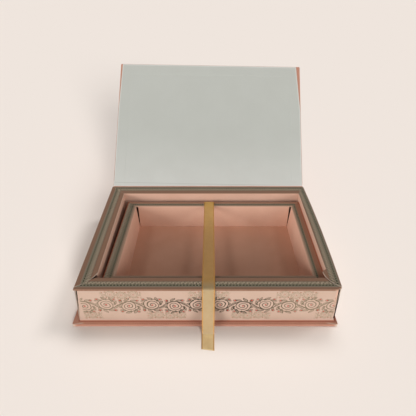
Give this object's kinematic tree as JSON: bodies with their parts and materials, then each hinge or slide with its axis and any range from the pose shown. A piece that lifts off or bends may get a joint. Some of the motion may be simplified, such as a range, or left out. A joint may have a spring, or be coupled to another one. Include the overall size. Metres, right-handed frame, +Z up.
{
  "type": "invitation box",
  "caption": "Presentation box of wrapped board: a tray with hollow folded walls and bordered rims, a smaller tray set in it, a satin lifting ribbon and a lid on a paper hinge, standing open.",
  "frame": {"origin": "middle of the base's underside, on the table", "axes": "+X is right as seen from the front, +Y is back towards the hinge, +Z is up"},
  "size_m": [0.28, 0.3524, 0.1813],
  "materials": {
    "grey_board": "plain grey board, hidden in its wrap",
    "textured_wrap": "salmon paper embossed with a fine diamond grain, matt",
    "lining_paper": "pale grey-green white lining paper, fine grain, matt",
    "pink_card": "pale pink laid card, matt",
    "printed_card": "pale pink card printed with a lace border on the rims and line ornament on the panels",
    "satin_ribbon": "gold satin with woven edges"
  },
  "bodies": {
    "case": {"base_board": "grey_board", "base_wrap": "textured_wrap", "base_lining": "lining_paper", "tray_floor": "pink_card", "tray_front_wall": "printed_card", "tray_back_wall": "printed_card", "tray_left_wall": "printed_card", "tray_right_wall": "printed_card", "insert_pad": "grey_board", "insert_floor": "pink_card", "insert_front_wall": "printed_card", "insert_back_wall": "printed_card", "insert_left_wall": "printed_card", "insert_right_wall": "printed_card", "ribbon": "satin_ribbon", "ribbon_patch": "lining_paper", "hinge_strip": "textured_wrap"},
    "lid": {"lid_board": "grey_board", "lid_wrap": "textured_wrap", "lid_liner": "lining_paper"}
  },
  "joints": [
    {"name": "lid_hinge", "type": "hinge", "parent": "case", "child": "lid", "pos_m": [0.003, 0.0929, 0.0531], "axis": [1, 0, 0], "range_deg": [-59.5, 135.9]}
  ]
}
